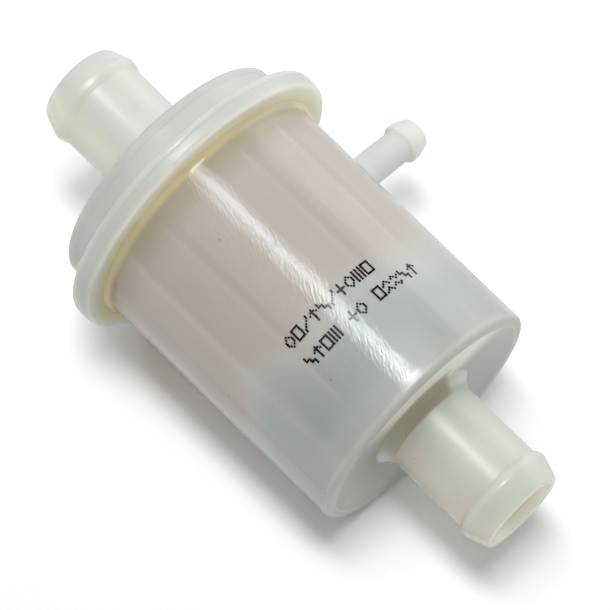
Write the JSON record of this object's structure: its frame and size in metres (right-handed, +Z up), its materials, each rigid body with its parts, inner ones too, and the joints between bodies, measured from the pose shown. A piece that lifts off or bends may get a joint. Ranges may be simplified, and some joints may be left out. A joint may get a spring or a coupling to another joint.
{
  "type": "in-line fuel filter",
  "caption": "In-line plastic fuel filter with inlet and outlet hose barbs, a small side return nipple and a pleated paper element inside.",
  "frame": {"origin": "on the filter's axis, halfway along the pleated paper element, which is also the filter's centre of mass; the housing flange's face towards the outlet is at x = 15.95 mm", "axes": "+X along the axis towards the inlet, -X towards the outlet, +Z up as the filter lies on its side, the side nipple points to -Y and 8.1 degrees below level"},
  "size_m": [0.0926, 0.0575, 0.048],
  "materials": {
    "body_nylon": "natural translucent nylon, glossy",
    "cover_nylon": "natural translucent nylon, satin",
    "filter_paper": "resin-treated filter paper",
    "seam_glue": "hot-melt glue",
    "core_plastic": "moulded plastic",
    "potting_resin": "cured resin",
    "cap_plastic": "moulded plastic",
    "seal_rubber": "fuel-resistant rubber"
  },
  "bodies": {
    "root": {"housing": "body_nylon", "inlet_cover": "cover_nylon", "pleated_paper": "filter_paper", "paper_seam_glue": "seam_glue", "centre_tube": "core_plastic", "upper_potting": "potting_resin", "lower_potting": "potting_resin", "upper_end_cap": "cap_plastic", "lower_end_cap": "cap_plastic", "outlet_seal_ring": "seal_rubber"}
  },
  "joints": []
}
